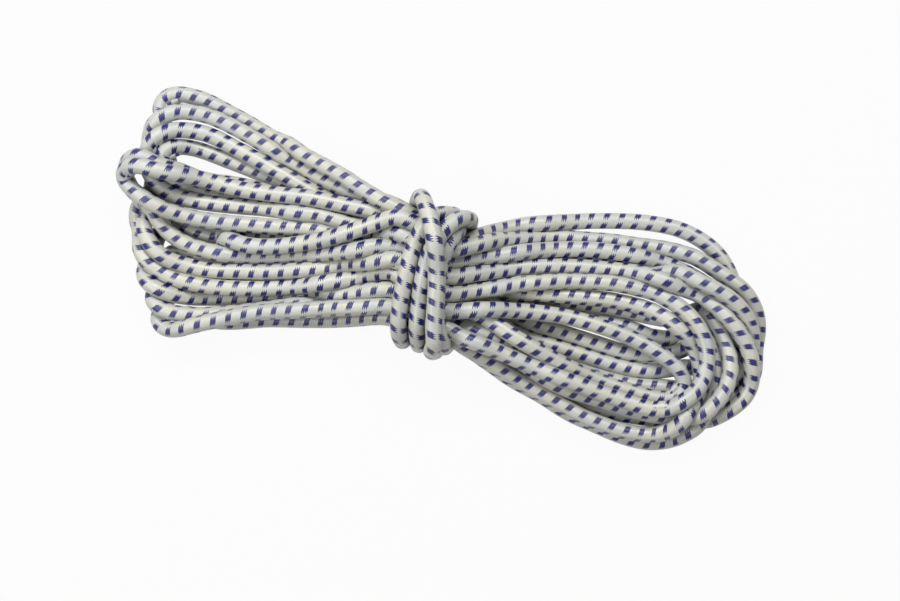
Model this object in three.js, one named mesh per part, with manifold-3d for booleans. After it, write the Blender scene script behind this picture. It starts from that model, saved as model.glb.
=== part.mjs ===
// Elastic cord: a braided sheath over a rubber core, folded into a hank and bound round with its own end.
// Millimetres. +X runs along the hank, +Z is up, and the hank lies on z = 0.
import * as THREE from 'three';
import { mergeVertices } from 'three/addons/utils/BufferGeometryUtils.js';
import Module from 'manifold-3d';

// The cord
const cordDiameter = 6;
const sheathWallShare = 0.133; // of the diameter: a thicker cord of the same make has a thicker braid
const coreClearance = 0.3; // between the rubber core and the bore of the sheath
const meetingGap = 0.3; // between the end of the hank and the start of the binding
const flatDepthShare = 0.1; // of the diameter, pressed flat where the cord lies on the ground

// The hank: two layers of loops, the lower spiralling in and the upper out again
const loopsPerLayer = 5;
const bightSpread = 159; // between the two centres that the bights turn round
const innerBightRadius = 9; // centreline of the tightest bight
const turnGap = 0.6; // clear room between neighbouring turns
const lobeSlack = 1.4; // more room per turn in the lobes, where nothing holds the loops together
const layerLift = 2; // more room between the two layers in the lobes

// The waist, where the loops crowd into four nested rows inside the binding
const waistLength = 44; // straight stretch that the binding covers
const nestedRows = 4; // two to each layer
const waistPitch = 4.1; // sideways from one strand to the next, in alternate rows
const slantShare = 0.87; // of the pitch that is left, square to the strands, where they fan out
const midRunShare = 0.5; // place of the node between the waist and a bight
const midDrawShare = 0.48; // how far that node is drawn in to the waist sideways
const midNestShare = 0.7; // how far it is nested in rows
const startX = 8; // where the cord begins, inside the binding
const finishX = -7; // where the hank's last strand passes to the binding

// The binding: the end of the same cord, wound over the waist
const bindingTurns = 4.25;
const firstTurnX = -18;
const wrapGap = 0.9; // clear room between neighbouring turns of the binding
const seatGap = 0.6; // clear room between the binding and the strands inside it
const bindingBow = 1.6; // how much the top of a turn bulges at its middle
const turnInReach = 6; // how gently the hank's last strand bends round into the first turn

// Facets
const sides = 6;
const stepsPerBight = 7;
const stepsPerCorner = 4;
const stepsAcross = 3; // along the top and the underside of a turn
const measureStep = 1.5; // between the points that the gaps are measured on

const sheathColour = 0xa9acab;
const coreColour = 0xc9b68f;

const cordRadius = cordDiameter / 2;
const sheathWall = cordDiameter * sheathWallShare;
const boreRadius = cordRadius - sheathWall;
const coreRadius = boreRadius - coreClearance;
const standHeight = cordRadius - cordDiameter * flatDepthShare; // centreline of a strand on the ground
const turnPitch = cordDiameter + turnGap;
const lobePitch = turnPitch + lobeSlack;
const layerRise = turnPitch + layerLift;
const rowRise = Math.sqrt(turnPitch ** 2 - (waistPitch * slantShare) ** 2);
const seatRadius = cordDiameter + seatGap; // from a corner strand's centreline to the binding's
const waistBase = standHeight + seatRadius; // centreline of the lowest row
const waistTop = waistBase + (nestedRows - 1) * rowRise;
const waistHalf = waistPitch * (loopsPerLayer - 0.5); // centreline of the outermost strand

// A run has five steps: two from a bight to the waist, a wide one through it, and two out again.
const halfSpread = bightSpread / 2;
const halfWaist = waistLength / 2;
const midRunX = halfWaist + (halfSpread - halfWaist) * midRunShare;
const runNodes = [
  { x: halfSpread, draw: 0, nest: 0 },
  { x: midRunX, draw: midDrawShare, nest: midNestShare },
  { x: halfWaist, draw: 1, nest: 1 },
  { x: -halfWaist, draw: 1, nest: 1 },
  { x: -midRunX, draw: midDrawShare, nest: midNestShare },
  { x: -halfSpread, draw: 0, nest: 0 },
];
const stepsPerRun = runNodes.length - 1;
const stepsPerHalf = stepsPerRun + stepsPerBight;
const stepsPerLoop = 2 * stepsPerHalf;

// Steps are counted from the left end of the first strand's waist. The climb takes the last inner run.
const stepsToBight = 2;
const climbStart = (loopsPerLayer - 1) * stepsPerLoop + stepsToBight + stepsPerBight;
const climbEnd = climbStart + stepsPerRun;
const lastStep = climbEnd + climbStart;
const turnsIn = climbStart / stepsPerLoop;
const outerBightRadius = innerBightRadius + lobePitch * turnsIn;

/** Loops that the cord has spiralled in by: in at a steady rate, level while it climbs, and out again. */
function spiral(step) {
  return Math.min(step, climbStart) / stepsPerLoop - Math.max(step - climbEnd, 0) / stepsPerLoop;
}

/** The layer at a step: 0 below, 1 above, and in between along the climb. */
function layerAt(step) {
  return THREE.MathUtils.clamp((step - climbStart) / (climbEnd - climbStart), 0, 1);
}

/** Centreline point of a strand where it runs between two bights, on the far (+1) or the near (-1) side. */
function runPoint(step, side, node) {
  const layer = layerAt(step);
  const slot = Math.min(Math.round(spiral(step) - (side < 0 ? 0.5 : 0)), loopsPerLayer - 1);
  const upperRow = (slot % 2 === 0) === (side > 0) ? 1 : 0;
  const waistLayer = step < climbStart ? 0 : 1;
  const waistY = waistPitch * (loopsPerLayer - slot - 0.5);
  const lobeY = outerBightRadius - lobePitch * spiral(step);
  const waistZ = waistBase + rowRise * ((nestedRows / 2) * waistLayer + upperRow);
  const lobeZ = standHeight + layerRise * layer;
  return new THREE.Vector3(
    node.x,
    side * THREE.MathUtils.lerp(lobeY, waistY, node.draw),
    THREE.MathUtils.lerp(lobeZ, waistZ, node.nest),
  );
}

/** Centreline point in a bight: an arc round the bight's centre, its radius following the spiral. */
function bightPoint(step, end, share) {
  const radius = outerBightRadius - lobePitch * spiral(step);
  const angle = Math.PI * (share - 0.5);
  return new THREE.Vector3(
    end * (halfSpread + radius * Math.cos(angle)),
    end * radius * Math.sin(angle),
    standHeight + layerRise * layerAt(step),
  );
}

/** Centreline of the hank, from its start inside the binding to where it passes to the binding. */
function hankRoute() {
  const firstStrand = runPoint(0, 1, runNodes[3]);
  const route = [new THREE.Vector3(startX, firstStrand.y, firstStrand.z)];
  for (let step = 0; step <= lastStep; step += 1) {
    const inLoop = (step + stepsPerRun - stepsToBight) % stepsPerLoop;
    const half = Math.floor(inLoop / stepsPerHalf);
    const inHalf = inLoop % stepsPerHalf;
    const side = half === 0 ? 1 : -1;
    if (inHalf <= stepsPerRun) {
      const node = runNodes[inHalf];
      route.push(runPoint(step, side, { ...node, x: side * node.x }));
    } else {
      route.push(bightPoint(step, -side, (inHalf - stepsPerRun) / stepsPerBight));
    }
  }
  const last = route[route.length - 1];
  route.push(new THREE.Vector3(finishX, last.y, last.z));
  return route;
}

/** One turn round the waist, from the middle of the far side down, under, up and over, as [y, z] points. */
function turnOutline() {
  const points = [];
  const middleZ = (waistBase + waistTop) / 2;
  const corners = [
    { y: waistHalf, z: waistBase, from: 0 },
    { y: -waistHalf, z: waistBase, from: -Math.PI / 2 },
    { y: -waistHalf, z: waistTop, from: -Math.PI },
    { y: waistHalf, z: waistTop, from: -1.5 * Math.PI },
  ];
  points.push([waistHalf + seatRadius, middleZ]);
  corners.forEach((corner, index) => {
    for (let k = 0; k <= stepsPerCorner; k += 1) {
      const angle = corner.from - (Math.PI / 2) * (k / stepsPerCorner);
      points.push([corner.y + seatRadius * Math.cos(angle), corner.z + seatRadius * Math.sin(angle)]);
    }
    if (index % 2 === 0) {
      const next = corners[index + 1];
      for (let k = 1; k < stepsAcross; k += 1) {
        const y = THREE.MathUtils.lerp(corner.y, next.y, k / stepsAcross);
        points.push([y, corner.z + seatRadius * Math.sign(corner.z - middleZ)]);
      }
    }
  });
  return points.map(([y, z]) => {
    const bow = z > waistTop ? bindingBow * (1 - (y / (waistHalf + seatRadius)) ** 2) : 0;
    return [y, z + bow];
  });
}

/** Centreline of the binding: straight on from the hank, round into the first turn, then along the waist. */
function bindingRoute(hankEnd) {
  const start = new THREE.Vector3(hankEnd.x - meetingGap, hankEnd.y, hankEnd.z);
  const straight = start.clone().setX(start.x - cordDiameter);
  const outline = turnOutline();
  const first = new THREE.Vector3(firstTurnX, outline[0][0], outline[0][1]);
  const bend = new THREE.CubicBezierCurve3(
    straight,
    straight.clone().setX(straight.x - turnInReach),
    first.clone().setZ(first.z + turnInReach),
    first,
  );
  const route = [start, ...bend.getPoints(stepsPerCorner)];
  const closed = [...outline, outline[0]];
  const reached = [0];
  for (let k = 1; k < closed.length; k += 1) {
    const [y, z] = closed[k - 1];
    reached.push(reached[k - 1] + Math.hypot(closed[k][0] - y, closed[k][1] - z));
  }
  const around = reached[reached.length - 1];
  const pitch = cordDiameter + wrapGap;
  const steps = Math.round(bindingTurns * outline.length);
  for (let step = 1; step <= steps; step += 1) {
    const turn = Math.floor(step / outline.length);
    const place = step % outline.length;
    const x = firstTurnX + pitch * (turn + reached[place] / around);
    route.push(new THREE.Vector3(x, outline[place][0], outline[place][1]));
  }
  return route;
}

/** Rings of a tube along a route, each in the plane that halves its bend, with no twist between them. */
function tubeRings(route, radius) {
  const along = route.map((point, k) => {
    const into = point.clone().sub(route[Math.max(k - 1, 0)]).normalize();
    const out = route[Math.min(k + 1, route.length - 1)].clone().sub(point).normalize();
    return into.add(out).normalize();
  });
  let up = new THREE.Vector3(0, 0, 1);
  return route.map((point, k) => {
    if (k > 0) {
      up.applyQuaternion(new THREE.Quaternion().setFromUnitVectors(along[k - 1], along[k]));
    }
    up = up.clone().addScaledVector(along[k], -up.dot(along[k])).normalize();
    const across = new THREE.Vector3().crossVectors(along[k], up);
    return Array.from({ length: sides }, (_, s) => {
      const angle = (2 * Math.PI * s) / sides;
      return point.clone()
        .addScaledVector(up, radius * Math.cos(angle))
        .addScaledVector(across, radius * Math.sin(angle));
    });
  });
}

/** Closed tube from rings, solid or, with a second set of rings, hollow and open at both ends. */
function tubeGeometry(outer, inner) {
  const positions = [];
  const index = [];
  const addRings = (rings) => {
    const base = positions.length / 3;
    rings.flat().forEach((point) => positions.push(point.x, point.y, point.z));
    return (ring, side) => base + ring * sides + (side % sides);
  };
  const addSkin = (at, inward) => {
    for (let ring = 0; ring < outer.length - 1; ring += 1) {
      for (let s = 0; s < sides; s += 1) {
        const [a, b, c, d] = [at(ring, s), at(ring, s + 1), at(ring + 1, s + 1), at(ring + 1, s)];
        index.push(...(inward ? [a, d, c, a, c, b] : [a, b, c, a, c, d]));
      }
    }
  };
  const outerAt = addRings(outer);
  const last = outer.length - 1;
  addSkin(outerAt, false);
  if (inner) {
    const innerAt = addRings(inner);
    addSkin(innerAt, true);
    for (let s = 0; s < sides; s += 1) {
      const near = [outerAt(0, s), outerAt(0, s + 1), innerAt(0, s + 1), innerAt(0, s)];
      const far = [outerAt(last, s), outerAt(last, s + 1), innerAt(last, s + 1), innerAt(last, s)];
      index.push(near[0], near[2], near[1], near[0], near[3], near[2]);
      index.push(far[0], far[1], far[2], far[0], far[2], far[3]);
    }
  } else {
    for (let s = 1; s < sides - 1; s += 1) {
      index.push(outerAt(0, 0), outerAt(0, s + 1), outerAt(0, s));
      index.push(outerAt(last, 0), outerAt(last, s), outerAt(last, s + 1));
    }
  }
  const geometry = new THREE.BufferGeometry();
  geometry.setAttribute('position', new THREE.Float32BufferAttribute(positions, 3));
  geometry.setIndex(index);
  return geometry;
}

const wasm = await Module();
wasm.setup();

/** The same shape as a solid that can be cut. */
function toSolid(geometry) {
  const bare = geometry.clone();
  bare.deleteAttribute('normal');
  bare.deleteAttribute('uv');
  const merged = mergeVertices(bare);
  return new wasm.Manifold(new wasm.Mesh({
    numProp: 3,
    vertProperties: new Float32Array(merged.attributes.position.array),
    triVerts: new Uint32Array(merged.index.array),
  }));
}

/** Cuts a cord flat on the ground, z = 0. */
function cutFlat(geometry) {
  geometry.computeBoundingBox();
  const size = geometry.boundingBox.getSize(new THREE.Vector3()).addScalar(cordDiameter);
  const middle = geometry.boundingBox.getCenter(new THREE.Vector3());
  const below = new THREE.BoxGeometry(size.x, size.y, size.z);
  below.translate(middle.x, middle.y, -size.z / 2);
  const mesh = toSolid(geometry).subtract(toSolid(below)).getMesh();
  const cut = new THREE.BufferGeometry();
  cut.setAttribute('position', new THREE.BufferAttribute(mesh.vertProperties, 3));
  cut.setIndex(new THREE.BufferAttribute(mesh.triVerts, 1));
  return cut;
}

/** Points along a route, with how far along it each one is. */
function pointsAlong(route) {
  const points = [];
  let reached = 0;
  for (let k = 1; k < route.length; k += 1) {
    const length = route[k].distanceTo(route[k - 1]);
    const count = Math.ceil(length / measureStep);
    for (let j = 0; j < count; j += 1) {
      const at = route[k - 1].clone().lerp(route[k], j / count);
      points.push({ at, along: reached + (length * j) / count });
    }
    reached += length;
  }
  return { points, length: reached };
}

/** Least clear gap between two stretches of cord, or of one to itself over two diameters further on. */
function leastGap(first, second) {
  let least = Infinity;
  first.points.forEach((one) => {
    second.points.forEach((other) => {
      if (first !== second || Math.abs(one.along - other.along) > 2 * cordDiameter) {
        least = Math.min(least, one.at.distanceTo(other.at));
      }
    });
  });
  return least - cordDiameter;
}

function cordMesh(name, geometry, colour, roughness) {
  const material = new THREE.MeshStandardMaterial({ color: colour, roughness, metalness: 0 });
  const flat = geometry.toNonIndexed();
  flat.computeVertexNormals();
  const mesh = new THREE.Mesh(flat, material);
  mesh.name = name;
  return mesh;
}

/** The sheath and the core of one stretch of cord. */
function addStretch(group, stretch, route) {
  const bore = tubeRings(route, boreRadius);
  const sheath = cutFlat(tubeGeometry(tubeRings(route, cordRadius), bore));
  group.add(cordMesh(`${stretch}_sheath`, sheath, sheathColour, 0.6));
  group.add(cordMesh(`${stretch}_core`, tubeGeometry(tubeRings(route, coreRadius)), coreColour, 0.8));
}

const hank = hankRoute();
const binding = bindingRoute(hank[hank.length - 1]);
const hankPoints = pointsAlong(hank);
const bindingPoints = pointsAlong(binding);
console.log('hank to itself', leastGap(hankPoints, hankPoints).toFixed(2), 'mm');
console.log('binding to itself', leastGap(bindingPoints, bindingPoints).toFixed(2), 'mm');
console.log('cord length', (hankPoints.length + bindingPoints.length).toFixed(0), 'mm');

const elasticCord = new THREE.Group();
addStretch(elasticCord, 'hank', hank);
addStretch(elasticCord, 'binding', binding);
const middle = new THREE.Box3().setFromObject(elasticCord).getCenter(new THREE.Vector3());
elasticCord.position.set(-middle.x, -middle.y, 0); // the origin is under the middle of the hank

export default elasticCord;
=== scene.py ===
"""An elastic cord, wound into a hank and bound round the waist with its own end.

The braided sheath and the rubber core follow one route: from a cut end hidden in the left lobe, through
ten bights on each side, and into the four turns that bind the waist. The route is first laid out as the
strands lie, then settled: no strand passes through another, and all rest on the ground or on each other.
"""
import math

import bpy
import numpy as np
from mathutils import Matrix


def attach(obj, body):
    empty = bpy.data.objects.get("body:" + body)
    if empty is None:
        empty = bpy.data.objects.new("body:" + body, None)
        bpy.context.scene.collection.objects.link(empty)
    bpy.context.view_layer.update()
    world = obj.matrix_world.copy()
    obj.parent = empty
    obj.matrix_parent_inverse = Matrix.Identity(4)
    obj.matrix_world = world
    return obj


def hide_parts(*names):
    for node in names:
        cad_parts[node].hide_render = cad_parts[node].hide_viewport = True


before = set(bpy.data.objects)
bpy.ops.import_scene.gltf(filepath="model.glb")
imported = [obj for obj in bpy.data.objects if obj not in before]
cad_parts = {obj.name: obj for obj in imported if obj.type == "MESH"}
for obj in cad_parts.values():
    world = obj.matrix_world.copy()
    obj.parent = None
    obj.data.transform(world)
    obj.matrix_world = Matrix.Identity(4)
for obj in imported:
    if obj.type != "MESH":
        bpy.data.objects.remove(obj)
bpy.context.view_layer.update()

# The cord, in millimetres
DIAMETER = 6.0
WALL = 0.8
CORE_CLEARANCE = 0.3
RADIUS = DIAMETER / 2

# The view: straight down, with the hank's long axis turned clockwise
VIEW_WIDTH, VIEW_HEIGHT = 900, 601
LENS = 50.0
SENSOR = 36.0
CAMERA_HEIGHT = 470.0
CAMERA_SPOT = (7.0, -6.4)
HANK_TURN = math.radians(14.6)
FOCAL = VIEW_WIDTH * LENS / SENSOR


def under_pixel(points):
    """Points on the ground plan, from (column, row, height): the view's ray met at that height."""
    column, row, height = np.asarray(points, float).T
    reach = (CAMERA_HEIGHT - height) / FOCAL
    right = (column - VIEW_WIDTH / 2) * reach
    down = (row - VIEW_HEIGHT / 2) * reach
    x = CAMERA_SPOT[0] + right * math.cos(HANK_TURN) + down * math.sin(HANK_TURN)
    y = CAMERA_SPOT[1] + right * math.sin(HANK_TURN) - down * math.cos(HANK_TURN)
    return np.column_stack([x, y, height])


def place_camera():
    """The camera straight above the hank, turned so that the hank slants as in the picture."""
    data = bpy.data.cameras.new("camera")
    data.lens = LENS
    data.sensor_width = SENSOR
    camera = bpy.data.objects.new("camera", data)
    bpy.context.scene.collection.objects.link(camera)
    camera.location = (CAMERA_SPOT[0] / 1000, CAMERA_SPOT[1] / 1000, CAMERA_HEIGHT / 1000)
    camera.rotation_euler = (0.0, 0.0, HANK_TURN)
    bpy.context.scene.camera = camera


# Rows of the bundle inside the binding, as heights of the centreline
ROW_LOW, ROW_MID, ROW_TOP = 9.2, 14.5, 19.8

# Each strand where it goes into the waist: its place across the bundle, in pixels, and its height
LEFT_SLOTS = {
    "T1": (101.5, ROW_TOP - 0.6), "S1": (110, 25.0), "S2b": (126, 22.5), "S2": (138, 18.6),
    "S3": (150, 21.4), "S4": (163.5, ROW_TOP - 0.6), "S5": (181, ROW_TOP), "S7": (196, ROW_TOP),
    "T2": (102, ROW_MID - 1), "W1": (114.5, ROW_MID + 1), "W2": (129, ROW_MID + 0.5), "W3": (145, ROW_MID),
    "W0": (161, ROW_MID), "S6": (178, ROW_MID), "S8": (209, ROW_MID),
    "T3": (108, ROW_LOW), "W1b": (121, ROW_LOW), "T4": (137, ROW_LOW), "S5u": (154, ROW_LOW),
    "S6u": (171, ROW_LOW), "S7u": (188, ROW_LOW),
}
RIGHT_SLOTS = {
    "U1": (119, ROW_TOP - 1), "U2": (129, 21.5), "U3": (140, 19.2), "U5": (154.7, ROW_TOP),
    "U6": (172, ROW_TOP), "R1": (188.5, ROW_TOP), "L8": (198.2, 15.6), "L6": (209.3, ROW_TOP),
    "end": (113, ROW_MID - 1.5), "U4": (130, ROW_MID), "U7": (147, ROW_MID), "I4": (165, ROW_MID),
    "L7": (181, ROW_MID), "L1": (217, ROW_MID),
    "L2u": (122, ROW_LOW), "R3": (138, ROW_LOW), "I1": (155, ROW_LOW), "I3": (172, ROW_LOW),
    "L9": (188, ROW_LOW), "L5": (204, ROW_LOW), "L2": (220, ROW_LOW - 0.7),
}
WAIST_LEFT, WAIST_RIGHT = 396, 450

# The left lobe's bights, each from one strand's waist end round to the other's: column, row, height
LEFT_BIGHTS = {
    ("T1", "S3"): [
        (383, 202, 18.5), (372, 194.8, 17.5), (358, 186.7, 16), (345, 178, 14.5), (331, 170.2, 13),
        (317.6, 162.5, 11.5), (304, 155.8, 9.5), (290, 148, 8), (276.5, 140.2, 6.5), (263, 132.2, 5.5),
        (249, 123.5, 4.5), (235, 116, 4), (221, 108.3, 3.5), (207, 101, 3), (192, 96.6, 3),
        (179, 94.4, 3), (169, 96, 3), (163, 101, 3), (160.2, 109, 3), (161, 119, 3), (164, 133, 3),
        (167.5, 150, 3), (171, 166, 3), (174, 180, 3), (170, 192, 3), (159, 201, 5), (151, 209, 7),
        (145, 218, 8.6), (144, 228, 10), (147, 239, 10.5), (153, 249, 10), (162, 257, 10), (173, 262, 10),
        (187, 266.5, 9.5), (202, 269.5, 9.5), (235, 271, 9.5), (271, 271, 10), (301, 270, 11.5),
        (332, 267, 14), (363, 263, 17),
    ],
    ("T2", "S4"): [
        (357, 195, 13), (340, 187, 12), (327, 181, 11), (313, 173.5, 10), (300.5, 166, 9), (287, 158, 8),
        (273, 150, 8), (260, 142, 7.5), (247, 134.5, 7.5), (232.6, 126.5, 7.5), (218, 119.5, 7.5),
        (202.6, 114.5, 8), (187, 112, 8.5), (177, 111.8, 9), (168.5, 114, 9), (160.5, 118.5, 8.5),
        (154, 125, 7), (151, 133, 5), (149.5, 142, 3.5), (150.5, 156, 3), (154.5, 168, 3), (158, 180, 3),
        (157.5, 191, 3), (153.5, 200.5, 3), (149.5, 209, 3), (145.8, 218, 3), (142.8, 228, 3.2),
        (140.3, 239, 4.2), (141, 250, 6), (145.5, 259, 7.5), (152, 266, 8.5), (160, 271.5, 9),
        (169, 276, 9), (180, 279.7, 9), (193, 283, 9), (207, 286, 9), (222, 287.5, 9), (252, 288.5, 9),
        (298, 286, 10.5), (344, 280, 14),
    ],
    ("T3", "W2"): [
        (340, 208, 8), (320, 197, 7.5), (300, 185, 7), (288.5, 178, 7), (275, 170, 7), (262, 162.5, 7),
        (250, 156, 7), (236, 148.5, 7), (222, 141, 7.5), (208, 134.5, 8), (195, 131.6, 8.5),
        (182, 130.2, 9), (169, 130.8, 10), (158.5, 135, 11), (151.5, 141.5, 12), (148, 150, 12.3),
        (147, 159, 12), (148.7, 168, 11), (152.5, 177, 9.8), (159, 185.5, 8.5), (171, 194.5, 9),
        (186, 199, 9), (200, 202, 9), (215, 204, 9), (230.5, 205.5, 9), (246, 207, 9.5), (261, 208, 10),
        (277, 210, 10.5), (292, 212, 11), (307, 214.6, 11.5), (322, 217, 12), (355, 226, 13.5),
    ],
    ("T4", "W1b"): [
        (360, 226, 8), (320, 200, 5), (290, 185, 4), (262, 173.6, 3), (255, 170.8, 3), (240, 165, 3),
        (225, 159.5, 3), (210, 153.6, 3), (196, 149, 3.5), (184, 147.1, 4.5), (172, 147.6, 6),
        (163.5, 150.5, 7.4), (159.5, 157, 8.2), (160.5, 165.5, 8.2), (165, 173.5, 7.6), (174, 181, 6.5),
        (187, 187.5, 5), (201, 192.6, 4), (216, 196, 4), (231, 198, 4), (246, 200, 4), (262, 201, 4.5),
        (277, 204, 5), (292, 206, 5.5), (307, 208, 6), (322, 209.5, 6.5), (334, 214.6, 7), (365, 220, 8),
    ],
    ("W1", "W3"): [
        (382, 214, 16), (367, 210, 16.5), (353, 207, 16.5), (339, 204, 16.5), (324, 201, 16),
        (309, 198.5, 15.5), (294, 196.5, 15), (278, 194.5, 14), (262, 192.5, 13.5), (246, 190.3, 13),
        (230, 186.7, 13), (214, 182.3, 13.2), (198, 178.2, 14.5), (181.6, 174.9, 17), (165, 172, 20.3),
        (149, 168, 22), (137, 165.5, 20), (128.5, 167, 16.5), (123.8, 173, 13.5), (124.6, 180.5, 11.2),
        (130, 187, 9.7), (139, 194.5, 11), (151, 202.8, 14), (165, 210, 14), (181, 214.5, 13),
        (196, 218.5, 12.5), (212, 220.9, 13), (228, 222.7, 13), (243, 224.2, 13), (259, 225.5, 13),
        (275, 227, 13), (291, 227.5, 13), (307, 227.5, 13), (322, 228, 13), (350, 240, 13.5),
    ],
    ("W0", "S2"): [
        (360, 248, 12), (320, 222, 9), (285, 203, 7), (262, 195, 6.8), (246, 191, 7), (226, 186, 7),
        (206, 181, 7.8), (187, 176, 10.7), (170, 171, 14), (155, 164.5, 16.3), (144, 157.5, 16.5),
        (136, 156.6, 14), (128.8, 160.7, 11), (125.7, 168.5, 7.2), (125.2, 178, 5), (130, 186.5, 4.5),
        (137.5, 193.8, 6), (145, 201.3, 9), (152, 209.7, 11), (160, 223, 11), (172, 235, 10),
        (185, 243, 9.5), (199, 248.5, 9.5), (213, 251.5, 9.5), (233, 254.5, 9.5), (254, 256.5, 9.5),
        (285, 256, 10), (316, 254.5, 12), (348, 251.5, 15), (379, 247.5, 18.5),
    ],
    ("S1", "S2b"): [
        (386, 220, 23), (375, 223.5, 22), (360, 228.5, 21.5), (345, 233.5, 20.5), (330, 238, 19),
        (313.6, 241.5, 17.5), (297, 244, 16.5), (281, 246, 16), (265, 246.5, 15.5), (250, 245.5, 15),
        (238, 243, 14.2), (230, 240.5, 12.5), (224.5, 240, 9.5), (223.5, 243.5, 6.5), (228.5, 249.5, 4.2),
        (238, 254, 3), (254, 256.5, 3), (275, 258, 3), (300, 257, 4), (325, 252.5, 7), (350, 246, 11),
        (365, 242, 14), (382, 237.5, 17.5),
    ],
    ("S5", "S5u"): [
        (362, 292.5, 15), (333, 295.5, 10), (290, 296, 5), (249, 297, 3.5), (222, 297.7, 3.5),
        (200, 297.8, 4.5), (185, 296.8, 6), (171, 294, 7.5), (158, 289.7, 8), (148.8, 282.6, 7.5),
        (145.4, 273.3, 6), (146.8, 262, 4.5), (150, 251, 3.2), (153.5, 240, 3), (158, 230, 3),
        (167, 224.5, 3), (179, 226, 3), (190, 230, 3), (203, 234.7, 3), (217, 238.5, 3), (235, 240.5, 3),
        (260, 241.5, 3), (290, 243, 3.2), (320, 248, 5), (350, 255, 7),
    ],
    ("S6", "S6u"): [
        (360, 298, 13), (330, 301, 10.5), (300, 304, 9), (277, 307, 8.5), (262, 311.5, 8.5),
        (248, 314.6, 8.5), (232, 317, 8.5), (216, 317.2, 8.5), (201, 317.2, 8.5), (187, 315.4, 8.5),
        (175, 312.8, 8.5), (162.3, 309.5, 8), (155.3, 302, 7), (155.2, 292.5, 5.5), (155, 282, 4.3),
        (157, 271, 3.2), (160.5, 261, 3), (167, 253.5, 3), (176, 251.5, 3), (187, 253.5, 3),
        (199, 258, 3), (212, 263.5, 3), (228, 268.5, 3), (250, 271.5, 3), (290, 272, 4), (340, 271, 6.5),
    ],
    ("S7", "S7u"): [
        (378, 305, 18), (363, 306, 16.5), (333, 308, 14.5), (303, 310, 13.5), (273, 311.5, 13.5),
        (258, 312.5, 13.5), (242, 315, 13.3), (227, 318, 12.8), (212, 321, 12), (198, 324, 11),
        (184, 327, 10), (173, 329.8, 9.5), (163.7, 328, 9), (158.8, 321.3, 8), (158.6, 311, 6),
        (161.3, 300, 4.2), (167, 291, 3.1), (178, 284.8, 3), (202, 281.5, 3), (245, 282, 3),
        (290, 284, 4), (340, 284, 6.5),
    ],
}

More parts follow.
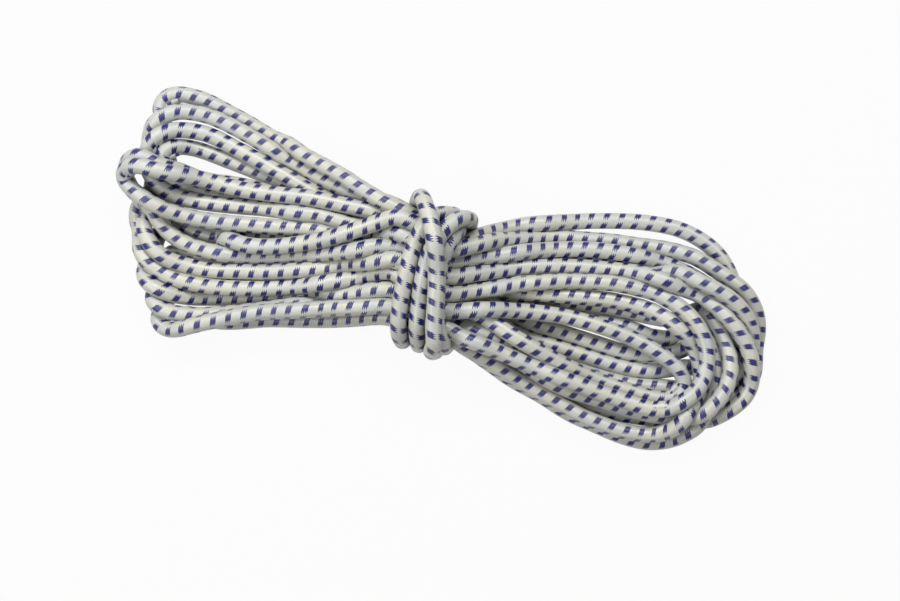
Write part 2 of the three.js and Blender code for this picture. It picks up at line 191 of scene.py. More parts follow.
# The right lobe's bights, in the same way
RIGHT_BIGHTS = {
    ("U1", "I1"): [
        (471, 236.5, 17), (486, 234, 15), (502, 230.3, 13), (518, 227.3, 11), (532, 225.8, 9),
        (547, 223.9, 7), (562, 222.7, 5.5), (577, 221.7, 4), (593, 220.9, 3), (608, 221, 3),
        (623, 221.2, 3), (638, 222, 3), (652, 223.7, 3), (667.5, 226.3, 3), (682, 230.5, 3),
        (695, 236.6, 3), (707.3, 244.8, 3), (718.3, 254.8, 3), (725.4, 266, 3), (730.9, 277.4, 3),
        (734, 290, 3), (732, 302, 3), (725.5, 313, 3), (715, 322.5, 3), (703, 330, 3), (693.5, 342, 3),
        (682.5, 350.7, 3), (667.5, 353, 3), (652, 354.5, 3), (636, 354, 3), (619, 350.9, 3),
        (603, 345.2, 3), (588, 340.7, 3), (572, 335.5, 3), (556, 331, 3.4), (541, 326.8, 4),
        (527, 321.3, 5), (510, 312, 6), (490, 300, 7.5), (466, 285, 8.8),
    ],
    ("U3", "I3"): [
        (467, 259.5, 18.5), (482, 257, 17), (498, 255, 15.5), (514, 252.5, 14), (530, 251, 12),
        (545, 250, 10.5), (560, 249.5, 9.5), (575, 249, 9), (591, 249.5, 9), (606, 251, 9), (621, 253, 9),
        (636, 256, 9), (651, 260, 9), (665, 264.5, 8.5), (678, 269, 8), (692, 276, 7.5), (705, 284, 7),
        (717, 293, 6.5), (728, 304, 6), (736, 317, 5.5), (741, 331, 5), (741, 346, 4), (736, 359, 3),
        (726, 368, 3), (712, 373, 3), (697, 368, 3), (683, 366.3, 3), (670, 368.7, 3), (658, 371.5, 3),
        (643, 372.5, 3), (626, 370.5, 3), (609, 364.7, 3), (595, 359.9, 3), (578, 354.5, 3.5),
        (545, 343.5, 4.5), (512, 330, 6.5), (488, 315, 8), (466, 301, 9),
    ],
    ("U4", "I4"): [
        (480, 264, 13), (510, 262, 10), (540, 261, 6), (566, 261, 4), (590, 262, 3), (615, 265, 3.5),
        (641, 269, 6), (656, 271.5, 9), (671.5, 273.5, 11.5), (686, 277.5, 13), (701, 283, 14),
        (716, 290, 14.5), (730, 299, 14.5), (741, 310, 14), (748.5, 322, 13), (751.5, 335, 11.5),
        (751.5, 349, 9.5), (748, 362, 7), (741, 373.5, 4.5), (731, 383, 3.2), (717, 390.5, 3),
        (700, 393.5, 3), (682, 389.5, 3), (659, 386.2, 3), (643, 384.7, 3), (627, 381.5, 3),
        (600, 374, 3), (570, 363, 4), (540, 348, 6), (510, 330, 8), (485, 312, 11), (466, 298, 13.5),
    ],
    ("U2", "L8"): [
        (469, 247, 20), (484, 244.5, 17.5), (499, 242, 15), (514, 240, 12.5), (529, 238.5, 10),
        (545, 237.5, 8), (562, 237, 6), (577, 238.8, 5), (592, 240, 4), (607, 241, 4), (622, 243, 4),
        (652, 247.6, 5), (683, 253.3, 7), (701, 260.5, 8.5), (715, 270, 9), (729, 279.3, 9),
        (742.7, 289.8, 9), (752, 303, 8.5), (757, 317, 7.5), (757.8, 331, 6), (755.6, 346, 4),
        (752.4, 360, 3), (747.9, 374.3, 3), (740.6, 387.9, 3), (729.5, 399, 3), (714, 407, 3),
        (696, 408, 3), (678, 405, 3), (655, 401.5, 3), (630, 395.5, 3), (605, 388.5, 3.5),
        (578, 379, 4.5), (548, 364.5, 7), (520, 350, 11), (506, 343, 13.5), (492, 337, 16),
        (478, 332, 18), (463, 327, 19.5),
    ],
    ("U5", "L5"): [
        (466, 274.5, 18.5), (481, 272, 17), (496, 270, 15.5), (511, 268, 14), (527, 267, 12.5),
        (542, 266.5, 11), (558, 266.5, 10), (574, 267, 9.5), (589, 268, 9.5), (605, 269.5, 9.5),
        (621, 271, 9.5), (637, 273.5, 10), (652, 277, 10.5), (668, 281.5, 11.5), (684, 287, 13),
        (699, 295, 14), (713, 304.5, 14.5), (727, 316.5, 15), (738, 329.5, 14.5), (746, 343.5, 13),
        (751, 359, 11), (752, 375, 9), (749, 390, 7), (740, 402, 5), (727.3, 411, 4), (713.4, 416.1, 3),
        (700.4, 422, 3), (688, 423, 3), (675, 420, 3), (661, 416.2, 3), (646, 412.6, 3), (631, 408.8, 3),
        (617, 404.7, 3), (603, 400, 3), (590, 395.5, 3), (576, 391.5, 3), (562, 386, 3), (540, 376, 3),
        (515, 361.5, 4), (490, 345, 6), (466, 333, 8.5),
    ],
    ("U6", "L6"): [
        (465, 293, 19), (479, 291, 18), (494, 289, 16.5), (509, 285.6, 15), (524.5, 283.9, 13.5),
        (540, 282.7, 12), (555, 282.3, 11), (571, 281.5, 10.5), (587, 281.5, 10.5), (603, 282, 10.5),
        (619, 284, 11), (635, 286.5, 11.5), (650, 291, 12.5), (664.6, 297.3, 13.5), (678.4, 306, 14.5),
        (691, 317.4, 15), (701, 332, 15), (706.5, 350, 15), (706.5, 368, 15), (700, 385.5, 15),
        (689, 399, 15), (675.6, 407, 14.5), (660.6, 409.5, 14), (645, 408, 13.5), (633, 403.5, 13.5),
        (603.5, 394, 13.5), (575, 383, 13.5), (546, 371.5, 14), (518, 360, 15.5), (492, 349, 17.5),
        (465, 338, 19.5),
    ],
    ("U7", "L1"): [
        (465, 276, 13.5), (480, 284, 12.5), (494, 289, 11), (508, 291.5, 10), (523, 292.7, 9),
        (539, 293.5, 8.8), (554, 294.4, 8.8), (570, 295.6, 8.8), (585, 297.5, 8.8), (601, 298.7, 8.8),
        (615, 300.8, 8.8), (631, 304.5, 9), (645, 308, 9.8), (659, 314.3, 11.5), (672, 322.8, 13.3),
        (684, 333.7, 13), (693, 345, 11), (698.5, 358, 9.5), (701, 372, 9), (700.5, 388, 9),
        (697, 401, 9), (690.5, 413, 9), (680.5, 423, 9), (667, 431.3, 9), (648.5, 434.7, 9),
        (631, 432.5, 9), (614.6, 429, 9), (600, 423.2, 9), (586, 418, 9), (572.7, 411, 9), (559, 403, 9),
        (546, 395.7, 9), (533, 388.5, 9), (521.6, 381.8, 9), (510.3, 374.9, 9.2), (499.4, 368, 9.8),
        (488.8, 361.2, 11), (478.5, 355.3, 12.3), (466, 348, 13.7),
    ],
    ("R1", "L7"): [
        (462, 310.5, 19.5), (479, 310, 18.5), (495, 310.3, 17), (511, 310.7, 15.5), (527, 311.7, 14),
        (543, 313.3, 12.5), (559, 315.7, 11), (575, 319, 10), (590, 323, 9.5), (604, 327.5, 9.5),
        (618, 332.5, 9.5), (632, 338.5, 9.5), (646, 345.5, 9.5), (659, 353.5, 9.5), (671, 362.5, 9.5),
        (680, 372, 9.5), (685.5, 382, 9.5), (685, 391, 9), (678, 397, 8.5), (666, 399, 8.5),
        (650, 397, 8.5), (632, 392, 8.5), (612, 385.5, 9), (598, 380.5, 9.5), (583, 374, 10),
        (568, 367.5, 10.5), (554, 360.5, 11), (541, 353, 11.5), (527, 345, 12), (514, 337.5, 12.5),
        (501, 330, 13.5), (488, 323, 14), (478, 318, 14.5), (465, 309, 14.6),
    ],
    ("R3", "L9"): [
        (475, 274, 7.5), (486, 284.5, 6.3), (500, 295, 5), (520, 305.5, 3.6), (540, 312, 3),
        (560, 316, 3), (580, 319, 3), (600, 321.7, 3), (620, 324.3, 3), (640, 332, 3), (656, 337.8, 3),
        (670, 338.5, 3), (680.5, 330.5, 3), (687, 318, 3.2), (695, 308.5, 4.5), (706.5, 312, 6.3),
        (715.5, 323.5, 7.6), (722.5, 337, 8.5), (727.5, 351, 9), (730, 367, 9), (727, 384, 9),
        (719, 399, 8.5), (707, 410, 8), (693, 417, 7.5), (677, 419, 8), (660, 416.2, 8.7),
        (646, 413.1, 8.9), (631, 409.3, 8.9), (617, 405.2, 8.9), (603, 401, 8.9), (590, 396.5, 8.9),
        (576, 392.5, 8.9), (562, 387, 9), (540, 377, 9.3), (515, 363, 10), (490, 346, 11),
        (468, 328, 10.5),
    ],
    ("L2u", "L2"): [
        (475, 264, 6.8), (486, 272, 5.4), (500, 280.5, 4.2), (518, 289, 3.2), (538, 295.5, 3),
        (560, 300.5, 3), (581, 303.6, 3), (596, 305.5, 3), (611, 308.3, 3), (627, 311.5, 3),
        (642, 315, 3.5), (658, 318.5, 5.5), (674, 321, 8), (690, 327.3, 9.2), (703, 336, 9.5),
        (712, 347, 9.5), (717, 360, 9.5), (717.5, 373, 9.5), (716, 387, 9), (711.5, 401, 8),
        (703, 414, 6.5), (691.5, 428.5, 4.5), (677, 438, 3), (661.5, 441.5, 3), (645, 442, 3),
        (630, 438.2, 3), (614, 432.2, 3), (600, 425.9, 3), (586, 418.5, 3), (572, 410.6, 3),
        (558, 402.4, 3), (545, 394.9, 3), (532, 387.5, 3), (520, 381.3, 3), (509, 374.5, 3),
        (498, 367.8, 3.5), (484, 359.5, 5), (466, 349, 6.5),
    ],
}

# The cut end lies in the left lobe under another strand
FIRST_END = [(186, 313.5, 3), (200, 316, 3), (214, 318, 3), (228, 318.7, 3), (245, 318.7, 3),
             (271, 319.3, 3), (301, 320, 3.5), (331, 320, 5.5), (360, 318.5, 9), (380, 317, 12.5)]

# Which way each bight is taken, one after another along the cord
ORDER = [
    ("L1", "U7"), ("W2", "T3"), ("I1", "U1"), ("T1", "S3"), ("U6", "L6"), ("S7", "S7u"), ("L2", "L2u"),
    ("T2", "S4"), ("R1", "L7"), ("W3", "W1"), ("U4", "I4"), ("W0", "S2"), ("U5", "L5"), ("S6u", "S6"),
    ("L9", "R3"), ("W1b", "T4"), ("I3", "U3"), ("S2b", "S1"), ("U2", "L8"), ("S5", "S5u"),
]

# The binding: under the bundle and up on the far side, then four passes down over the front
BINDING = [
    (456, 230.5, 14.5), (459.5, 228.8, 18), (458.8, 230, 22), (454.5, 234.5, 25.2), (449, 241, 26.6),
    (444.5, 249, 27), (441, 258.5, 27), (438.3, 271, 27), (437, 286, 27), (436.5, 302, 27),
    (437, 318, 26.5), (438.5, 332, 24.5), (440.5, 341.5, 20.5), (442.2, 346, 14.5), (444.5, 345.5, 8.5),
    (448, 339, 4.3), (452, 328, 3), (457, 308, 3), (462, 285, 3), (465.5, 262, 3), (468.7, 246, 3.5),
    (469.2, 236, 6), (468.9, 229, 11.5), (468.2, 224, 18), (467, 220.5, 24), (463.3, 218.6, 28.6),
    (458, 218.8, 31), (452.3, 222.6, 32), (446.8, 228, 32), (441.5, 235, 31.5), (435.5, 245, 30.2),
    (429.5, 257, 28.6), (424.8, 272, 27.3), (421.4, 289, 27), (419, 307, 26.8), (417, 322, 26.2),
    (417, 334, 23.5), (418, 342, 18.5), (419.5, 345, 12.5), (421.5, 341, 6.5), (424.5, 331, 3.3),
    (429, 312, 3), (435, 290, 3), (442, 268, 3), (449, 248, 3), (453.5, 235, 4.5),
    (455.8, 226.5, 8.5), (456.5, 220.5, 14.5), (454.5, 217, 20.5), (450, 215, 25.5), (443.5, 214, 28.5),
    (436.5, 214.8, 29.5), (430, 218.8, 29.8), (424.5, 225, 29.3), (420, 232, 28.2), (415, 243, 27.3),
    (410, 258, 26.8), (406, 276, 26.5),
    (402, 292, 26.5), (399.5, 308, 26), (398, 322.5, 25), (398.8, 333, 21.5), (400.8, 339, 16.5),
    (403.2, 340.8, 10.5), (406, 337, 5.5), (409, 324, 3.1), (411, 306, 3), (413, 285, 3),
    (414.5, 262, 3), (415.5, 240, 3), (415.5, 222, 4), (416.5, 210, 8), (417.3, 203, 14),
    (419, 198.6, 20.5), (421, 197, 27), (423.3, 199.8, 32.3), (426.6, 208, 35.3),
    (429.8, 218.5, 36.4), (432.6, 230, 36.6), (434.5, 243, 36.2), (435.7, 258, 35), (436.2, 275, 33.8),
    (436, 292, 33.2), (435, 308, 32.8), (433.6, 323, 32.2), (433.8, 335, 29), (435, 343.5, 23.5),
    (436.3, 348.8, 17), (438, 350, 10.5), (439.5, 345, 5), (439, 335, 3), (441, 318, 3),
]


def waist_point(column, slot):
    """Where a strand goes through the waist: its place across the bundle turned back into a row."""
    across, height = slot
    row = (across + column * math.sin(HANK_TURN)) / math.cos(HANK_TURN)
    return (column, row, height)


def lay_route():
    """The whole cord as laid out, and how many of its points come before the binding."""
    points = list(FIRST_END)
    points.append(waist_point(WAIST_LEFT, LEFT_SLOTS["S8"]))
    for first, last in ORDER:
        left = (first, last) in LEFT_BIGHTS or (last, first) in LEFT_BIGHTS
        bights, slots = (LEFT_BIGHTS, LEFT_SLOTS) if left else (RIGHT_BIGHTS, RIGHT_SLOTS)
        column = WAIST_LEFT if left else WAIST_RIGHT
        inner = bights.get((first, last)) or bights[(last, first)][::-1]
        points.append(waist_point(column, slots[first]))
        points.extend(inner)
        points.append(waist_point(column, slots[last]))
    points.append(waist_point(WAIST_RIGHT, RIGHT_SLOTS["end"]))
    split = len(points)
    points.extend(BINDING)
    return under_pixel(points), split


FINE_PER_STEP = 6  # points on the curve for each one that is kept


def spline(points, spacing, marks=()):
    """Points at an even spacing on a smooth curve through the given ones, and where the marks fell.

    The curve is a Hermite cubic between neighbours whose tangent at a point is the slope of the parabola
    through it and its two neighbours, with the chord length as the parameter.
    """
    points = np.asarray(points, float)
    chord = np.r_[0.0, np.cumsum(np.linalg.norm(np.diff(points, axis=0), axis=1))]
    slope = np.gradient(points, chord, axis=0, edge_order=2)
    fine = np.linspace(0, chord[-1], int(chord[-1] / spacing * FINE_PER_STEP) + 2)
    k = np.clip(np.searchsorted(chord, fine, side="right") - 1, 0, len(points) - 2)
    span = (chord[k + 1] - chord[k])[:, None]
    t = (fine - chord[k])[:, None] / span
    curve = ((2 * t ** 3 - 3 * t ** 2 + 1) * points[k] + (t ** 3 - 2 * t ** 2 + t) * span * slope[k]
             + (3 * t ** 2 - 2 * t ** 3) * points[k + 1] + (t ** 3 - t ** 2) * span * slope[k + 1])
    reached = np.r_[0.0, np.cumsum(np.linalg.norm(np.diff(curve, axis=0), axis=1))]
    even = np.linspace(0, reached[-1], int(round(reached[-1] / spacing)) + 1)
    out = np.column_stack([np.interp(even, reached, curve[:, axis]) for axis in range(3)])
    at_marks = [int(np.searchsorted(even, np.interp(chord[mark], fine, reached))) for mark in marks]
    return out, at_marks


SETTLE_SPACING = 2.4
SETTLE_STEPS = 420
NEAR_ALONG = 14.0  # closer along the cord than this, two points don't press on each other
HIDING_RISE = 2.0  # a strand this much higher, and this near in plan, hides the one beneath it
HIDING_REACH = 0.45 * DIAMETER
FADE_POINTS = 9  # width of the soft edge between hidden and seen
SEEN_YIELD, BINDING_YIELD = 0.12, 0.2  # share of a push that a strand gives way to, where hidden ones take 1
SEEN_HOLD, HIDDEN_HOLD = 0.16, 0.012  # pull back to where it was laid, at each step
HEIGHT_HOLD, SINK = 0.01, 0.012
PRESS = 0.8
STRAIGHTEN = 0.09
PAIR_REACH = 1.4 * DIAMETER  # pairs are looked for this far out, once in a few steps
STEPS_PER_SEARCH = 6


def beneath_others(points, skip):
    """From 0, seen from above, to 1, beneath another strand, with a soft edge along the cord."""
    plan = points[:, :2]
    square = (plan ** 2).sum(1)
    apart = square[:, None] + square[None, :] - 2 * plan @ plan.T
    index = np.arange(len(points))
    other = np.abs(index[:, None] - index[None, :]) > skip
    above = points[None, :, 2] > points[:, None, 2] + HIDING_RISE
    covered = ((apart < HIDING_REACH ** 2) & other & above).any(axis=1).astype(float)
    window = np.hanning(FADE_POINTS)[1:-1]
    return np.convolve(covered, window / window.sum(), mode="same")


def settle(laid, binding_from):
    """Presses strands apart to a diameter, keeps them above the ground, and lets them sink and smooth out.

    Each step adds, to every point: its share of the overlap with each point nearer than a diameter, where
    a strand that lies beneath others yields and one that is seen stays; a pull back to where it was laid,
    carried along the view's ray when its height changes; a small fall; and the fourth difference along
    the cord, which evens its bends.
    """
    points = laid.copy()
    count = len(points)
    index = np.arange(count)
    skip = int(NEAR_ALONG / SETTLE_SPACING)
    beneath = beneath_others(laid, skip)
    yields = SEEN_YIELD + (1 - SEEN_YIELD) * beneath
    hold = SEEN_HOLD * (1 - beneath) + HIDDEN_HOLD * beneath
    hold[binding_from:] = SEEN_HOLD
    yields[binding_from:] = BINDING_YIELD
    spot = np.array(CAMERA_SPOT)
    for step in range(SETTLE_STEPS):
        if step % STEPS_PER_SEARCH == 0:
            square = (points ** 2).sum(1)
            apart = square[:, None] + square[None, :] - 2 * points @ points.T
            later = index[None, :] - index[:, None] > skip
            first, second = np.nonzero((apart < PAIR_REACH ** 2) & later)
        gap = points[second] - points[first]
        length = np.linalg.norm(gap, axis=1)
        inside = length < DIAMETER
        i, j, way, far = first[inside], second[inside], gap[inside], length[inside]
        push = way / np.maximum(far, 1e-6)[:, None] * (DIAMETER - far)[:, None]
        share = (yields[i] / (yields[i] + yields[j]))[:, None]
        half = np.full_like(share, 0.5)
        to_first = push * np.hstack([share, share, half])
        to_second = push - to_first
        move = np.zeros_like(points)
        touching = np.bincount(i, minlength=count) + np.bincount(j, minlength=count)
        for axis in range(3):
            move[:, axis] = (np.bincount(j, to_second[:, axis], count)
                             - np.bincount(i, to_first[:, axis], count))
        points += move / np.maximum(touching, 1)[:, None] ** 0.5 * PRESS
        ray = ((CAMERA_HEIGHT - points[:, 2]) / (CAMERA_HEIGHT - laid[:, 2]))[:, None]
        target = spot + (laid[:, :2] - spot) * ray
        points[:, :2] += hold[:, None] * (target - points[:, :2])
        points[:, 2] += HEIGHT_HOLD * (laid[:, 2] - points[:, 2]) - SINK
        bend = np.zeros_like(points)
        bend[1:-1] = points[:-2] + points[2:] - 2 * points[1:-1]
        points[2:-2] -= STRAIGHTEN * (bend[1:-3] + bend[3:-1] - 2 * bend[2:-2])
        points[:, 2] = np.maximum(points[:, 2], RADIUS)
    return points


def rings_along(path, radius, sides):
    """Rings of a round tube: radius times cosine and sine on a frame carried along with no twist."""
    ahead = np.gradient(path, axis=0)
    ahead /= np.linalg.norm(ahead, axis=1)[:, None]
    up = np.zeros_like(path)
    up[0] = np.cross(np.cross(ahead[0], (0, 0, 1)), ahead[0])
    up[0] /= np.linalg.norm(up[0])
    for k in range(1, len(path)):
        carried = up[k - 1] - ahead[k] * (up[k - 1] @ ahead[k])
        up[k] = carried / np.linalg.norm(carried)
    side = np.cross(ahead, up)
    angle = np.linspace(0, 2 * math.pi, sides, endpoint=False)
    return (path[:, None, :] + radius * (np.cos(angle)[None, :, None] * up[:, None, :]
                                         + np.sin(angle)[None, :, None] * side[:, None, :]))


def skin_faces(first, rings, sides, inward=False):
    """Quads between neighbouring rings whose vertices start at an index, facing out or in."""
    ring = np.arange(rings - 1)[:, None] * sides
    here = np.arange(sides)[None, :]
    after = (here + 1) % sides
    quads = np.stack([ring + here, ring + after, ring + sides + after, ring + sides + here], axis=-1)
    quads = quads.reshape(-1, 4) + first
    return quads[:, ::-1] if inward else quads


def make_object(name, vertices, faces, uv=None):
    """A smooth mesh object, from millimetres to metres, with a UV map of (along, around) if given."""
    mesh = bpy.data.meshes.new(name)
    mesh.from_pydata((vertices / 1000).tolist(), [], faces)
    if uv is not None:
        layer = mesh.uv_layers.new(name="braid")
        layer.data.foreach_set("uv", uv.astype(np.float32).ravel())
    mesh.polygons.foreach_set("use_smooth", np.ones(len(mesh.polygons), bool))
    mesh.update()
    piece = bpy.data.objects.new(name, mesh)
    bpy.context.scene.collection.objects.link(piece)
    return piece


RING_SPACING = 1.55
SHEATH_SIDES = 24
BORE_STEP = 8  # rings of the outer skin for each ring of the bore
CORE_SIDES = 12
CORE_STEP = 3


def make_sheath(name, path, start):
    """The braided sheath: an outer skin, a bore of fewer rings, and a flat ring of wall at each end.

    Its UV map holds the distance along the cord in diameters, and the share of a turn round it.
    """
    outer = rings_along(path, RADIUS, SHEATH_SIDES)
    picks = np.unique(np.r_[np.arange(0, len(path), BORE_STEP), len(path) - 1])
    bore = rings_along(path, RADIUS - WALL, SHEATH_SIDES)[picks]
    vertices = np.concatenate([outer.reshape(-1, 3), bore.reshape(-1, 3)])
    base = outer.shape[0] * SHEATH_SIDES
    skin = skin_faces(0, len(path), SHEATH_SIDES)
    inside = skin_faces(base, len(picks), SHEATH_SIDES, inward=True)
    here = np.arange(SHEATH_SIDES)
    after = (here + 1) % SHEATH_SIDES
    near = np.stack([here, base + here, base + after, after], axis=-1)
    last, last_bore = (len(path) - 1) * SHEATH_SIDES, base + (len(picks) - 1) * SHEATH_SIDES
    far = np.stack([last + here, last + after, last_bore + after, last_bore + here], axis=-1)
    faces = np.concatenate([skin, inside, near, far])
    reached = np.r_[0.0, np.cumsum(np.linalg.norm(np.diff(path, axis=0), axis=1))] + start
    along = np.r_[np.repeat(reached, SHEATH_SIDES), np.repeat(reached[picks], SHEATH_SIDES)] / DIAMETER
    around = np.tile(here / SHEATH_SIDES, len(path) + len(picks))
    turn = around[faces]
    seam = (turn.max(axis=1) - turn.min(axis=1)) > 0.5
    turn = np.where(seam[:, None] & (turn < 0.5), turn + 1.0, turn)
    uv = np.stack([along[faces], turn], axis=-1).reshape(-1, 2)
    return make_object(name, vertices, faces.tolist(), uv)


def make_core(name, path):
    """The rubber core: a tube of the bore's radius less its clearance, closed by a fan at each end."""
    thin = path[np.unique(np.r_[np.arange(0, len(path), CORE_STEP), len(path) - 1])]
    rings = rings_along(thin, RADIUS - WALL - CORE_CLEARANCE, CORE_SIDES)
    vertices = np.concatenate([rings.reshape(-1, 3), thin[:1], thin[-1:]])
    here = np.arange(CORE_SIDES)
    after = (here + 1) % CORE_SIDES
    first = len(thin) * CORE_SIDES
    last_ring = first - CORE_SIDES
    near = np.column_stack([np.full(CORE_SIDES, first), after, here])
    far = np.column_stack([np.full(CORE_SIDES, first + 1), last_ring + here, last_ring + after])
    faces = skin_faces(0, len(thin), CORE_SIDES).tolist() + near.tolist() + far.tolist()
    return make_object(name, vertices, faces)


place_camera()

laid_points, binding_start = lay_route()
laid, (split,) = spline(laid_points, SETTLE_SPACING, [binding_start])
settled = settle(laid, split)
route, (split,) = spline(settled, RING_SPACING, [split])
hank_path, binding_path = route[:split + 1], route[split:]
hank_length = float(np.linalg.norm(np.diff(hank_path, axis=0), axis=1).sum())

hank = make_sheath("hank_braid", hank_path, 0.0)
hank_rubber = make_core("hank_rubber", hank_path)
binding = make_sheath("binding_braid", binding_path, hank_length)
binding_rubber = make_core("binding_rubber", binding_path)
for piece, node, slot in (
    (hank, "hank_sheath", "sheath"), (hank_rubber, "hank_core", "core"),
    (binding, "binding_sheath", "sheath"), (binding_rubber, "binding_core", "core"),
):
    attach(piece, "root")
    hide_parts(node)


PITCH = 0.95  # cord diameters that a yarn takes for one turn round the cord
CARRIERS = 8  # yarn bundles each way round; a bundle goes over two of the others and under two
DYED_WIDTH = 3.0  # bundles of one hand that are dyed, half of it before the first of two whole ones
DRIFT = 0.006  # turns that the braid gains on the cord in each diameter, so no two strands look alike
MARK_FADE = (1.16, 1.38)  # distance from a mark's middle, in bundles, where its blue ends
FRAY = 0.6  # how unevenly it ends, in bundles
FILAMENTS = 6  # half waves across a bundle
PALE_COOL, PALE_WARM = (0.405, 0.413, 0.385, 1.0), (0.447, 0.440, 0.374, 1.0)
PALE_GREY = (0.42, 0.43, 0.42, 1.0)
BLUE_DEEP, BLUE_CLEAR = (0.001, 0.001, 0.060, 1.0), (0.002, 0.003, 0.120, 1.0)
# Painted shade: dark colours put into the grooves between yarn bundles. Over dyed bundles the painted groove
# shade is close to the dye's deep blue.
GROOVE_SHADE_PALE, GROOVE_SHADE_BLUE = (0.10, 0.10, 0.10, 1.0), (0.002, 0.002, 0.06, 1.0)


class Recipe:
    """A material's nodes, with arithmetic written as calls. Each call adds a node and gives its output."""

    def __init__(self, name):
        self.material = bpy.data.materials.new(name)
        self.material.use_nodes = True
        self.nodes = self.material.node_tree.nodes
        self.links = self.material.node_tree.links
        self.shader = self.nodes["Principled BSDF"]

    def feed(self, socket, value):
        if isinstance(value, bpy.types.NodeSocket):
            self.links.new(value, socket)
        else:
            socket.default_value = value

    def maths(self, operation, *values):
        node = self.nodes.new("ShaderNodeMath")
        node.operation = operation
        for socket, value in zip(node.inputs, values):
            self.feed(socket, value)
        return node.outputs[0]

    def add(self, a, b):
        return self.maths("ADD", a, b)

    def less(self, a, b):
        return self.maths("SUBTRACT", a, b)

    def times(self, a, b):
        return self.maths("MULTIPLY", a, b)

    def whole(self, a):
        return self.maths("FLOOR", a)

    def part(self, a):
        return self.maths("FRACT", a)

    def blend(self, share, a, b):
        """a where the share is 0, b where it is 1."""
        return self.add(self.times(share, b), self.times(self.less(1.0, share), a))

    def mix(self, share, a, b):
        node = self.nodes.new("ShaderNodeMix")
        node.data_type = "RGBA"
        self.feed(node.inputs["Factor"], share)
        self.feed(node.inputs["A"], a)
        self.feed(node.inputs["B"], b)
        return node.outputs["Result"]

    def noise(self, scale, detail=2.0, vector=None):
        node = self.nodes.new("ShaderNodeTexNoise")
        node.inputs["Scale"].default_value = scale
        node.inputs["Detail"].default_value = detail
        if vector is None:
            vector = self.nodes.new("ShaderNodeTexCoord").outputs["Object"]
        self.links.new(vector, node.inputs["Vector"])
        return node.outputs["Fac"]

    def ramp(self, value, low, high, to_low=0.0, to_high=1.0):
        node = self.nodes.new("ShaderNodeMapRange")
        node.interpolation_type = "SMOOTHSTEP"
        self.feed(node.inputs["Value"], value)
        node.inputs["From Min"].default_value = low
        node.inputs["From Max"].default_value = high
        node.inputs["To Min"].default_value = to_low
        node.inputs["To Max"].default_value = to_high
        return node.outputs["Result"]


def braid_material():
    """Satin yarns braided over two and under two, with neighbours of one hand dyed dark blue.

    One hand's bundles are numbered by CARRIERS times (turn + way along), the other's by CARRIERS times
    (turn - way along). With m the sum of the two numbers modulo 4, the first hand lies on top where m is
    0 or 1 and the second where it is 2 or 3. A bundle's height is a half sine across it, times a flatter
    half sine along the two that it passes over. The dyed bundles show blue round the middle of each place
    where they lie on top, which puts four rows of marks round the cord.
    """
    r = Recipe("braided sheath")
    uv = r.nodes.new("ShaderNodeUVMap")
    uv.uv_map = "braid"
    place = r.nodes.new("ShaderNodeSeparateXYZ")
    r.links.new(uv.outputs["UV"], place.inputs[0])
    along = r.times(place.outputs["X"], 1 / PITCH)
    around = r.add(place.outputs["Y"], r.times(place.outputs["X"], DRIFT))
    first = r.times(r.add(around, along), CARRIERS)
    second = r.times(r.less(around, along), CARRIERS)
    first_number, second_number = r.whole(first), r.whole(second)
    first_across, second_across = r.part(first), r.part(second)
    m = r.maths("FLOORED_MODULO", r.add(first_number, second_number), 4.0)
    first_on_top = r.maths("LESS_THAN", m, 1.5)
    across = r.blend(first_on_top, second_across, first_across)
    over = r.blend(first_on_top, r.add(first_across, r.less(m, 2.0)), r.add(second_across, m))
    crown = r.maths("SINE", r.times(across, math.pi))
    length = r.maths("SINE", r.times(over, math.pi / 2))
    height = r.times(r.maths("POWER", crown, 0.6), r.maths("POWER", length, 0.35))

    in_turn = r.maths("FLOORED_MODULO", r.add(first, 0.5), float(CARRIERS))
    dyed_bundle = r.maths("LESS_THAN", in_turn, DYED_WIDTH)
    fray = r.noise(2600.0, 2.0)
    from_middle = r.less(r.maths("FLOORED_MODULO", r.add(r.add(first_number, second), 1.0), 4.0), 2.0)
    reach = r.add(r.maths("ABSOLUTE", from_middle), r.times(r.less(fray, 0.5), FRAY))
    dyed = r.times(dyed_bundle, r.ramp(reach, *MARK_FADE, 1.0, 0.0))

    cloud = r.noise(55.0, 3.0)
    pale = r.mix(r.ramp(cloud, 0.35, 0.65), PALE_COOL, PALE_WARM)
    strand = r.noise(1500.0, 2.0)
    pale = r.mix(r.ramp(strand, 0.30, 0.75, 0.0, 0.16), pale, PALE_GREY)
    blue = r.mix(r.ramp(strand, 0.30, 0.70), BLUE_DEEP, BLUE_CLEAR)
    yarn = r.mix(dyed, pale, blue)
    # Painted shade in the grooves: where the braid's relief is low, the colour is pulled towards the dark
    # groove colours, which stand in for the shade that falls between bundles.
    groove_shade_share = r.ramp(height, 0.0, 0.55, 0.62, 0.0)
    shade = r.mix(dyed, GROOVE_SHADE_PALE, GROOVE_SHADE_BLUE)
    colour = r.mix(groove_shade_share, yarn, shade)
    r.links.new(colour, r.shader.inputs["Base Color"])

    filaments = r.maths("SINE", r.times(across, math.pi * FILAMENTS))
    relief = r.add(height, r.times(filaments, 0.07))
    bump = r.nodes.new("ShaderNodeBump")
    bump.inputs["Strength"].default_value = 0.4
    bump.inputs["Distance"].default_value = 0.00022
    r.links.new(relief, bump.inputs["Height"])
    r.links.new(bump.outputs["Normal"], r.shader.inputs["Normal"])
    rough = r.add(0.25, r.times(r.less(1.0, height), 0.2))
    r.links.new(r.add(rough, r.times(dyed, 0.05)), r.shader.inputs["Roughness"])
    r.shader.inputs["Specular IOR Level"].default_value = 0.7
    r.shader.inputs["IOR"].default_value = 1.5
    return r.material


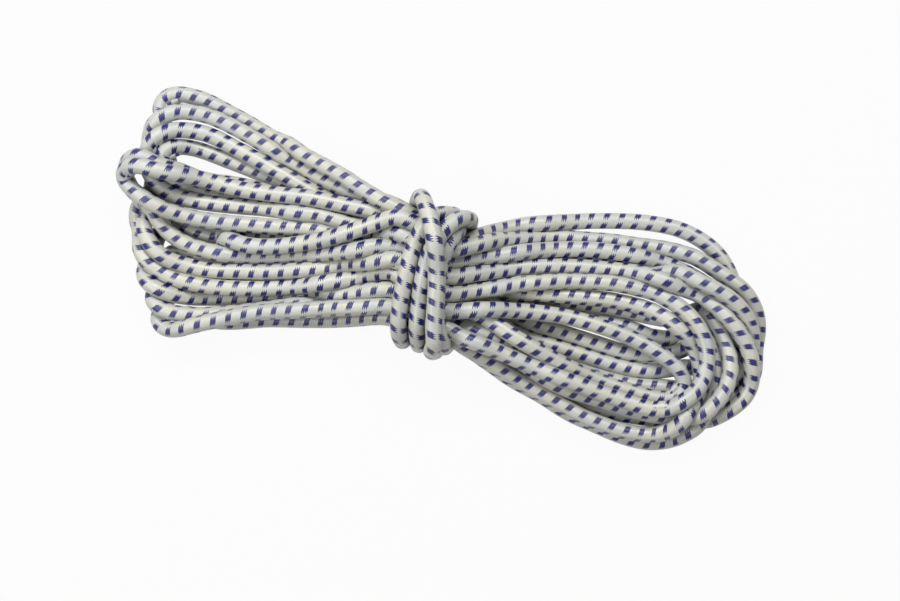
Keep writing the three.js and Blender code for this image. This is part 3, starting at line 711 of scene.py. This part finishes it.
def rubber_material():
    """Plain natural rubber, faintly mottled."""
    material = bpy.data.materials.new("rubber core")
    material.use_nodes = True
    nodes, links = material.node_tree.nodes, material.node_tree.links
    shader = nodes["Principled BSDF"]
    place = nodes.new("ShaderNodeTexCoord")
    noise = nodes.new("ShaderNodeTexNoise")
    noise.inputs["Scale"].default_value = 900.0
    links.new(place.outputs["Object"], noise.inputs["Vector"])
    ramp = nodes.new("ShaderNodeValToRGB")
    ramp.color_ramp.elements[0].color = (0.55, 0.46, 0.30, 1.0)
    ramp.color_ramp.elements[1].color = (0.68, 0.58, 0.40, 1.0)
    links.new(noise.outputs["Fac"], ramp.inputs["Fac"])
    links.new(ramp.outputs["Color"], shader.inputs["Base Color"])
    shader.inputs["Roughness"].default_value = 0.7
    return material


sheath_finish = braid_material()
rubber_finish = rubber_material()
for piece, finish in ((hank, sheath_finish), (binding, sheath_finish),
                      (hank_rubber, rubber_finish), (binding_rubber, rubber_finish)):
    piece.data.materials.append(finish)


GROUND_REACH = 12.0
GROUND_GREY = (0.30, 0.30, 0.30, 1.0)  # what light from the ground on the object sees
GROUND_WHITE_SHARE = 0.95  # the rest of what the camera sees there takes the shadow
SKY_LEVELS = ((0.08, 0.25), (0.30, 0.08), (0.80, 0.08), (0.92, 0.02))  # between level and straight up
SKY_LEVEL, SKY_TOP = (0.85, 0.85, 0.85, 1.0), (0.05, 0.05, 0.05, 1.0)


def add_stage():
    """White ground under the hank that still takes its shadow, and a sky that is pale near the ground."""
    size = GROUND_REACH
    mesh = bpy.data.meshes.new("ground")
    corners = [(-size, -size, 0), (size, -size, 0), (size, size, 0), (-size, size, 0)]
    mesh.from_pydata(corners, [], [(0, 1, 2, 3)])
    ground = bpy.data.objects.new("ground", mesh)
    bpy.context.scene.collection.objects.link(ground)
    r = Recipe("white ground")
    r.shader.inputs["Base Color"].default_value = GROUND_GREY
    r.shader.inputs["Roughness"].default_value = 0.8
    glow = r.nodes.new("ShaderNodeEmission")
    glow.inputs["Strength"].default_value = 1.0
    path = r.nodes.new("ShaderNodeLightPath")
    seen = r.maths("MAXIMUM", path.outputs["Is Camera Ray"], path.outputs["Is Glossy Ray"])
    seen = r.maths("MAXIMUM", seen, path.outputs["Is Transmission Ray"])
    both = r.nodes.new("ShaderNodeMixShader")
    r.links.new(r.times(seen, GROUND_WHITE_SHARE), both.inputs["Fac"])
    r.links.new(r.shader.outputs[0], both.inputs[1])
    r.links.new(glow.outputs[0], both.inputs[2])
    r.links.new(both.outputs[0], r.nodes["Material Output"].inputs["Surface"])
    mesh.materials.append(r.material)

    world = bpy.data.worlds.new("pale sky")
    world.use_nodes = True
    nodes, links = world.node_tree.nodes, world.node_tree.links
    way = nodes.new("ShaderNodeTexCoord")
    parts = nodes.new("ShaderNodeSeparateXYZ")
    links.new(way.outputs["Generated"], parts.inputs[0])
    fall = nodes.new("ShaderNodeValToRGB")
    fall.color_ramp.interpolation = "EASE"
    elements = fall.color_ramp.elements
    elements[0].color = SKY_LEVEL
    elements[1].color = SKY_TOP
    for position, level in SKY_LEVELS:
        added = elements.new(position)
        added.color = (level, level, level * 1.01, 1.0)
    links.new(parts.outputs["Z"], fall.inputs["Fac"])
    links.new(fall.outputs["Color"], nodes["Background"].inputs["Color"])
    bpy.context.scene.world = world


LAMP_DISTANCE = 0.8
LAMPS = (  # name, side as an angle in the picture, angle above the ground, size, power
    ("lamp above", 90, 50, (0.9, 0.16), 7.8),
    ("lamp below", 270, 46, (0.9, 0.14), 1.4),
    ("lamp left", 180, 50, (0.7, 0.16), 4.6),
    ("lamp right", 0, 46, (0.7, 0.14), 1.1),
)


def add_lamp(name, side, rise, size, power):
    """A soft box facing the hank; its side is counted from the picture's right, anticlockwise."""
    data = bpy.data.lights.new(name, "AREA")
    data.shape = "RECTANGLE"
    data.size, data.size_y = size
    data.energy = power
    lamp = bpy.data.objects.new(name, data)
    bpy.context.scene.collection.objects.link(lamp)
    turn = math.radians(side) + HANK_TURN
    tilt = math.radians(rise)
    way = np.array([math.cos(turn) * math.cos(tilt), math.sin(turn) * math.cos(tilt), math.sin(tilt)])
    lamp.location = way * LAMP_DISTANCE
    lamp.rotation_euler = (math.pi / 2 - tilt, 0.0, turn + math.pi / 2)


add_stage()
for lamp in LAMPS:
    add_lamp(*lamp)

bpy.context.scene.view_settings.view_transform = "Standard"
